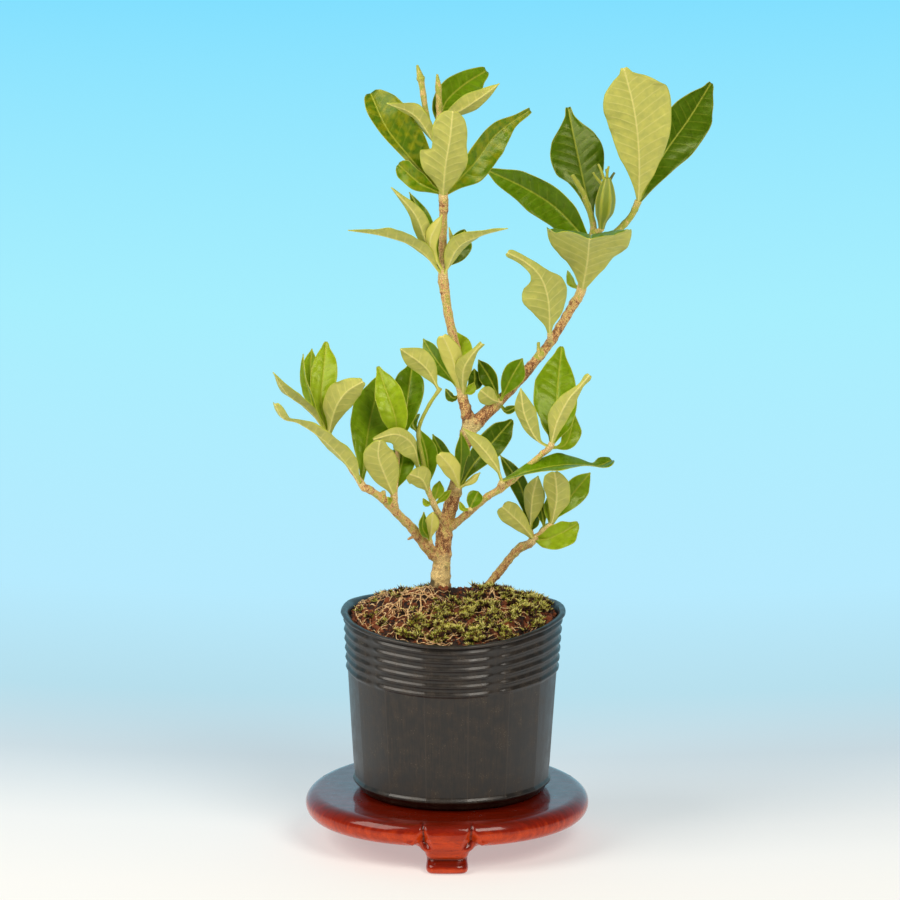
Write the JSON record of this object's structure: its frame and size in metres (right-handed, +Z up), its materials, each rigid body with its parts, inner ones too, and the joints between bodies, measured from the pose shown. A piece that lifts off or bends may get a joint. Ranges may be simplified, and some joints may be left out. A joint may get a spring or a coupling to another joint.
{
  "type": "potted gardenia bonsai",
  "caption": "Small gardenia trained as a bonsai, with a forked stem, leafy shoots and a flower base, in a ringed nursery pot on a round carved stand.",
  "frame": {"origin": "under the middle of the plant's and stand's whole reach, on the surface that the stand's feet rest on", "axes": "+Z up, -Y towards the viewer with one foot of the stand in front, +X to the viewer's right"},
  "size_m": [0.1365, 0.0889, 0.245],
  "materials": {
    "stand": "glossy lacquer",
    "pot": "satin",
    "soil": "crumbly matt",
    "moss": "soft matt",
    "bark": "rough matt",
    "leaf": "satin",
    "calyx": "satin"
  },
  "bodies": {
    "root": {"stand": "stand", "pot": "pot", "soil": "soil", "moss": "moss", "trunk": "bark", "basal_stem": "bark", "shoot_leader": "leaf", "shoot_second": "leaf", "shoot_top": "leaf", "shoot_right_tip": "leaf", "shoot_right_inner": "leaf", "shoot_fork": "leaf", "shoot_left_tip": "leaf", "shoot_left_side": "leaf", "shoot_middle_left": "leaf", "shoot_trunk_front": "leaf", "shoot_low_left": "leaf", "shoot_low_right": "leaf", "shoot_small": "leaf", "shoot_right_mid": "leaf", "shoot_basal": "leaf", "flower_calyx": "calyx"}
  },
  "joints": []
}
